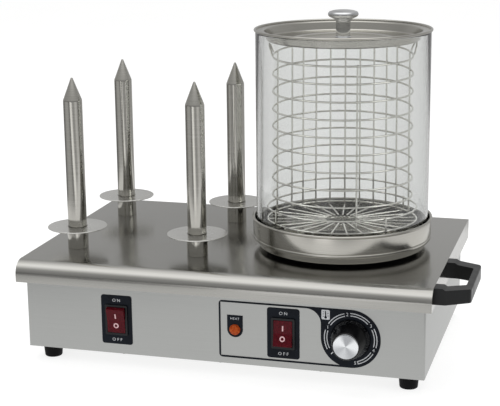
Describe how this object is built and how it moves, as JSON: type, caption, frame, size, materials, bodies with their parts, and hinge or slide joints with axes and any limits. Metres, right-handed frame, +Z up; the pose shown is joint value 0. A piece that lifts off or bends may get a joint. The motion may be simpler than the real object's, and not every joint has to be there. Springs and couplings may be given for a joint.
{
  "type": "hot dog toaster",
  "caption": "Counter-top steamer and toaster: folded steel housing on feet, upright heated spikes with loose discs, glass cylinder with wire basket and lid, rocker switches and dial.",
  "frame": {"origin": "on the resting plane, under the middle of the bounding box", "axes": "X to the right seen from the front, Y to the back (the controls face -Y), Z up"},
  "size_m": [0.5144, 0.3322, 0.397],
  "materials": {
    "black_plastic": "black, satin",
    "casing_steel": "brushed along the width",
    "clear_glass": "clear, polished ends",
    "copper": "bare copper",
    "deck_steel": "brushed along the width, darker than the casing",
    "foot_rubber": "black, matt",
    "gasket_rubber": "black, matt",
    "handle_plastic": "black, slightly satin",
    "heater_steel": "dull oxidised sheath",
    "knob_chrome": "mirror polished",
    "knob_plastic": "black, smooth",
    "label_film": "navy-black print under a satin film",
    "lamp_amber": "amber, translucent",
    "pan_steel": "spun and brushed round its axis",
    "rocker_red": "dark red, translucent",
    "screw_steel": "plain zinc-plated",
    "spike_steel": "turned and brushed",
    "spun_aluminium": "spun, fine rings",
    "white_plastic": "off-white phenolic",
    "wire_steel": "bright drawn wire"
  },
  "bodies": {
    "housing": {"boiler_pan": "pan_steel", "bottom_cover": "casing_steel", "bottom_cover_screws": "screw_steel", "casing_shell": "casing_steel", "control_label": "label_film", "cord_gland": "black_plastic", "deck_plate": "deck_steel", "element_clamp": "pan_steel", "foot_front_left": "foot_rubber", "foot_front_right": "foot_rubber", "foot_nuts": "screw_steel", "foot_rear_left": "foot_rubber", "foot_rear_right": "foot_rubber", "foot_screws": "screw_steel", "gland_locknut": "black_plastic", "handle_screws": "screw_steel", "heating_element": "heater_steel", "lamp_body": "black_plastic", "lamp_lens": "lamp_amber", "lamp_plate": "label_film", "left_switch_housing": "black_plastic", "left_switch_plate": "label_film", "pan_gasket": "gasket_rubber", "pan_nuts": "screw_steel", "right_switch_housing": "black_plastic", "right_switch_plate": "label_film", "side_handle": "handle_plastic", "spike_front_left": "spike_steel", "spike_front_right": "spike_steel", "spike_heaters": "heater_steel", "spike_nuts": "screw_steel", "spike_rear_left": "spike_steel", "spike_rear_right": "spike_steel", "spike_sleeve_front_left": "spike_steel", "spike_sleeve_front_right": "spike_steel", "spike_sleeve_rear_left": "spike_steel", "spike_sleeve_rear_right": "spike_steel", "terminal_block": "white_plastic", "thermostat_body": "white_plastic", "thermostat_bulb": "copper", "thermostat_screws": "screw_steel"},
    "thermostat_knob": {"thermostat_shaft": "screw_steel", "knob_body": "knob_plastic", "knob_face": "spun_aluminium"},
    "left_rocker": {"left_rocker": "rocker_red"},
    "right_rocker": {"right_rocker": "rocker_red"},
    "glass": {"glass_cylinder": "clear_glass"},
    "basket": {"basket_hoops": "wire_steel", "basket_base_hoops": "wire_steel", "basket_uprights": "wire_steel", "basket_floor": "wire_steel", "basket_legs": "wire_steel", "basket_loops": "wire_steel"},
    "lid": {"lid_pan": "pan_steel", "lid_knob": "knob_chrome", "lid_screw": "screw_steel"},
    "stop_disc_front_left": {"stop_disc_front_left": "spike_steel"},
    "stop_disc_front_right": {"stop_disc_front_right": "spike_steel"},
    "stop_disc_rear_left": {"stop_disc_rear_left": "spike_steel"},
    "stop_disc_rear_right": {"stop_disc_rear_right": "spike_steel"}
  },
  "joints": [
    {"name": "knob_turn", "type": "hinge", "parent": "housing", "child": "thermostat_knob", "pos_m": [0.1305, -0.1404, 0.05731], "axis": [0, 1, 0], "range_deg": [0, 300]},
    {"name": "left_rocker_tilt", "type": "hinge", "parent": "housing", "child": "left_rocker", "pos_m": [-0.1397, -0.1396, 0.05731], "axis": [1, 0, 0], "range_deg": [-19, 0]},
    {"name": "right_rocker_tilt", "type": "hinge", "parent": "housing", "child": "right_rocker", "pos_m": [0.0553, -0.1396, 0.05731], "axis": [1, 0, 0], "range_deg": [0, 19]},
    {"name": "glass_lift", "type": "slide", "parent": "housing", "child": "glass", "axis": [0, 0, 1], "range_m": [0, 0.12]},
    {"name": "basket_lift", "type": "slide", "parent": "glass", "child": "basket", "axis": [0, 0, 1], "range_m": [0, 0.26]},
    {"name": "lid_lift", "type": "slide", "parent": "basket", "child": "lid", "axis": [0, 0, 1], "range_m": [0, 0.12]},
    {"name": "stop_disc_front_left_lift", "type": "slide", "parent": "housing", "child": "stop_disc_front_left", "axis": [0, 0, 1], "range_m": [0, 0.19]},
    {"name": "stop_disc_front_right_lift", "type": "slide", "parent": "housing", "child": "stop_disc_front_right", "axis": [0, 0, 1], "range_m": [0, 0.19]},
    {"name": "stop_disc_rear_left_lift", "type": "slide", "parent": "housing", "child": "stop_disc_rear_left", "axis": [0, 0, 1], "range_m": [0, 0.19]},
    {"name": "stop_disc_rear_right_lift", "type": "slide", "parent": "housing", "child": "stop_disc_rear_right", "axis": [0, 0, 1], "range_m": [0, 0.19]}
  ]
}
